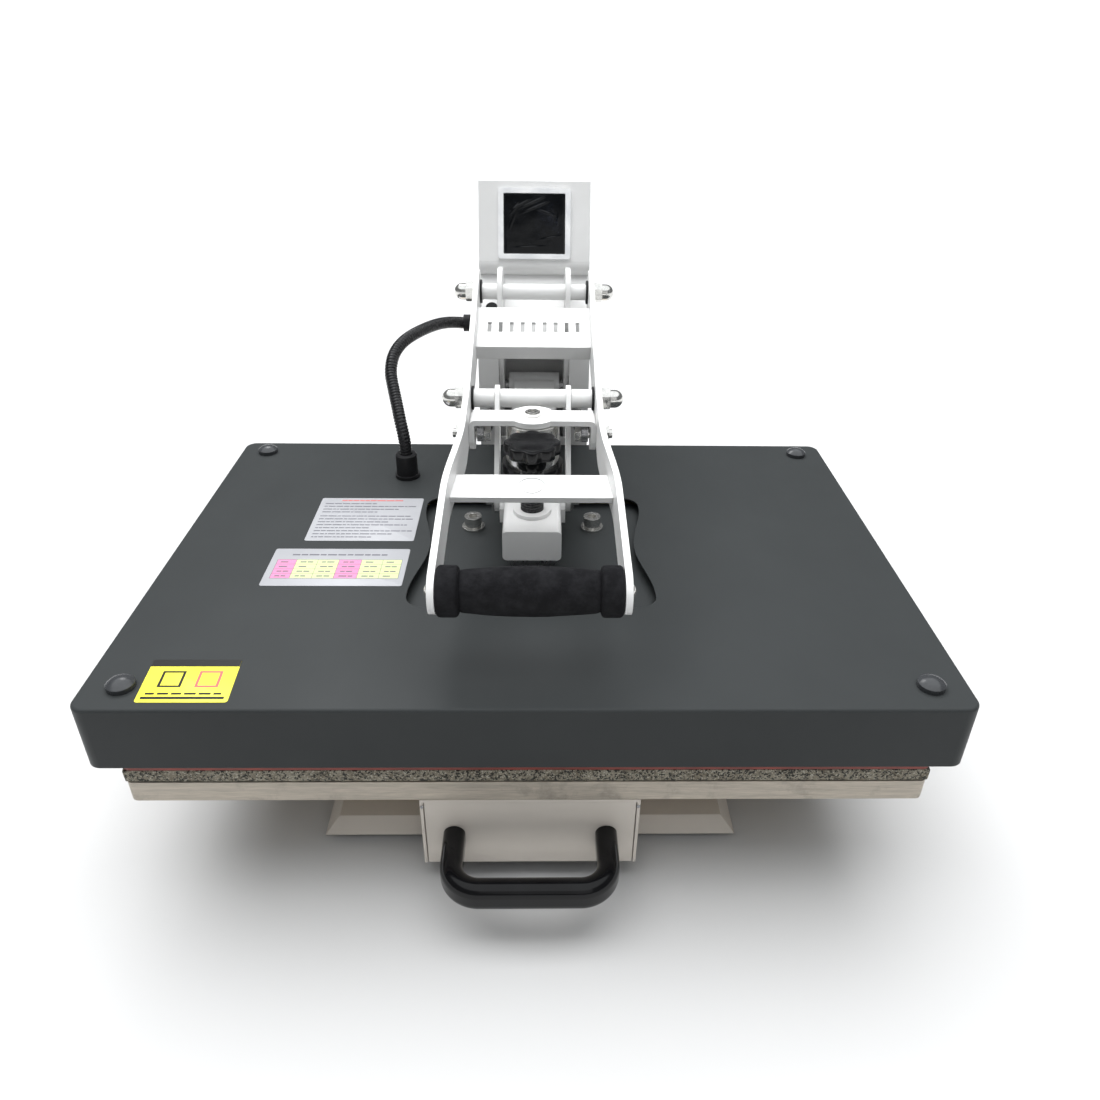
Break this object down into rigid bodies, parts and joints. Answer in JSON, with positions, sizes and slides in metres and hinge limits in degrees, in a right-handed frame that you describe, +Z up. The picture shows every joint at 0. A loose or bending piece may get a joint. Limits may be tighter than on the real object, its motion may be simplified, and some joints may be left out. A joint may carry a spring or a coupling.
{
  "type": "heat press",
  "caption": "Clamshell transfer press with a drawer-mounted lower platen, a toggle lever over a magnet latch and a controller on a rear tower.",
  "frame": {"origin": "on the bench, at the centre of the footprint of the closed press", "axes": "+Z up, +X to the operator's right, +Y from the operator towards the tower"},
  "size_m": [0.628, 0.6906, 0.45],
  "materials": {
    "powder_white": "bright white powder coat, fine orange peel",
    "powder_cream": "off-white powder coat on the base and drawer",
    "powder_grey": "dark slate grey satin powder coat",
    "zinc": "zinc-plated steel",
    "steel": "ground steel shaft",
    "chrome": "bright nickel-plated fasteners",
    "cast_alu": "cast aluminium, machined face",
    "brushed_alu": "brushed aluminium plate with horizontal grain",
    "screw_black": "black oxide screw thread",
    "gloss_black": "gloss black phenolic",
    "matte_black": "black nylon",
    "paint_black": "gloss black painted tube",
    "cap_black": "dark grey glossy caps",
    "screen": "glossy black display window under clear film",
    "bezel": "white gloss moulding",
    "foam_black": "matte black foam rubber",
    "rubber": "black rubber",
    "silicone": "speckled beige and grey silicone foam",
    "facing_red": "dark red-brown release coating",
    "wool": "yellowish mineral wool board",
    "label_silver": "silver film label",
    "label_yellow": "yellow vinyl label",
    "relay": "cream moulding",
    "switch_red": "red translucent rocker"
  },
  "bodies": {
    "base": {"base_tray": "powder_cream", "rubber_feet": "rubber", "guide_rails": "zinc", "tower_shell": "powder_white", "tower_back": "powder_white", "tower_frame": "powder_white", "pin1_shaft": "steel", "pin1_spacers": "powder_white", "pin1_nuts": "chrome", "hinge_shaft": "steel", "spring_mounts": "steel", "controller_case": "matte_black", "controller_bezel": "bezel", "controller_screen": "screen", "cable_fittings": "matte_black", "power_inlet": "matte_black", "solid_state_relay": "relay", "conduit": "paint_black"},
    "head_arm": {"beam": "powder_white", "magnet_mount": "paint_black", "electromagnet": "chrome", "pin3_shaft": "steel", "pin3_nuts": "chrome"},
    "platen_head": {"cover": "powder_grey", "support_plate": "powder_grey", "insulation": "wool", "heating_platen": "cast_alu", "platen_facing": "facing_red", "corner_caps": "cap_black", "head_bolts": "chrome", "thrust_socket": "steel", "label_notes": "label_silver", "label_table": "label_silver", "label_caution": "label_yellow", "conduit_boot": "matte_black"},
    "screw": {"knob": "gloss_black", "pressure_screw": "screw_black"},
    "lever": {"lever_arms": "powder_white", "cross_plate": "powder_white", "crossbar": "powder_white", "keeper_bracket": "powder_white", "keeper_bolts": "chrome", "pin2_shaft": "steel", "pin2_spacers": "powder_white", "pin2_nuts": "chrome", "grip_core": "zinc", "grip_foam": "foam_black", "grip_screws": "chrome"},
    "link": {"link_frame": "powder_white"},
    "spring_barrel_left": {"spring_cylinder_l": "paint_black"},
    "spring_barrel_right": {"spring_cylinder_r": "paint_black"},
    "spring_piston_left": {"spring_rod_l": "steel"},
    "spring_piston_right": {"spring_rod_r": "steel"},
    "drawer": {"drawer_box": "powder_cream", "drawer_front": "powder_cream", "drawer_runners": "zinc", "lower_platen": "brushed_alu", "silicone_pad": "silicone", "pull_handle": "paint_black"},
    "switch": {"power_switch": "switch_red"}
  },
  "joints": [
    {"name": "head_hinge", "type": "hinge", "parent": "base", "child": "head_arm", "pos_m": [0, 0.19525, 0.24], "axis": [-1, 0, 0], "range_deg": [0, 24], "deforming": ["conduit"]},
    {"name": "lever_hinge", "type": "hinge", "parent": "base", "child": "lever", "pos_m": [0, 0.17425, 0.351], "axis": [-1, 0, 0], "range_deg": [0, 36]},
    {"name": "link_hinge", "type": "hinge", "parent": "lever", "child": "link", "pos_m": [0, 0.01025, 0.297], "axis": [-1, 0, 0], "range_deg": [-48, 0]},
    {"name": "spring_swing_left", "type": "hinge", "parent": "base", "child": "spring_barrel_left", "pos_m": [-0.0465, 0.15125, 0.222], "axis": [-1, 0, 0], "range_deg": [0, 29]},
    {"name": "spring_swing_right", "type": "hinge", "parent": "base", "child": "spring_barrel_right", "pos_m": [0.0465, 0.15125, 0.222], "axis": [-1, 0, 0], "range_deg": [0, 29]},
    {"name": "spring_slide_left", "type": "slide", "parent": "spring_barrel_left", "child": "spring_piston_left", "axis": [0, -0.9509, 0.3095], "range_m": [0, 0.078]},
    {"name": "spring_slide_right", "type": "slide", "parent": "spring_barrel_right", "child": "spring_piston_right", "axis": [0, -0.9509, 0.3095], "range_m": [0, 0.078]},
    {"name": "head_lift", "type": "slide", "parent": "head_arm", "child": "platen_head", "axis": [0, 0, 1], "range_m": [0, 0.0016]},
    {"name": "knob_spin", "type": "hinge", "parent": "platen_head", "child": "screw", "pos_m": [0, -0.08475, 0.28], "axis": [0, 0, 1], "range_deg": [0, 231]},
    {"name": "drawer_slide", "type": "slide", "parent": "base", "child": "drawer", "axis": [0, -1, 0], "range_m": [0, 0.28]},
    {"name": "switch_rock", "type": "hinge", "parent": "base", "child": "switch", "pos_m": [0, 0.31125, 0.103], "axis": [1, 0, 0], "range_deg": [0, 14]}
  ],
  "couplings": [
    {"joint": "lever_hinge", "follows": "head_hinge", "ratio": 1.4641},
    {"joint": "link_hinge", "follows": "head_hinge", "ratio": -1.9356},
    {"joint": "spring_swing_left", "follows": "head_hinge", "ratio": 1.1493},
    {"joint": "spring_slide_left", "follows": "head_hinge", "m_per_rad": 0.17689},
    {"joint": "spring_swing_right", "follows": "head_hinge", "ratio": 1.1493},
    {"joint": "spring_slide_right", "follows": "head_hinge", "m_per_rad": 0.17689},
    {"joint": "knob_spin", "follows": "head_lift", "rad_per_m": 2513.3}
  ]
}
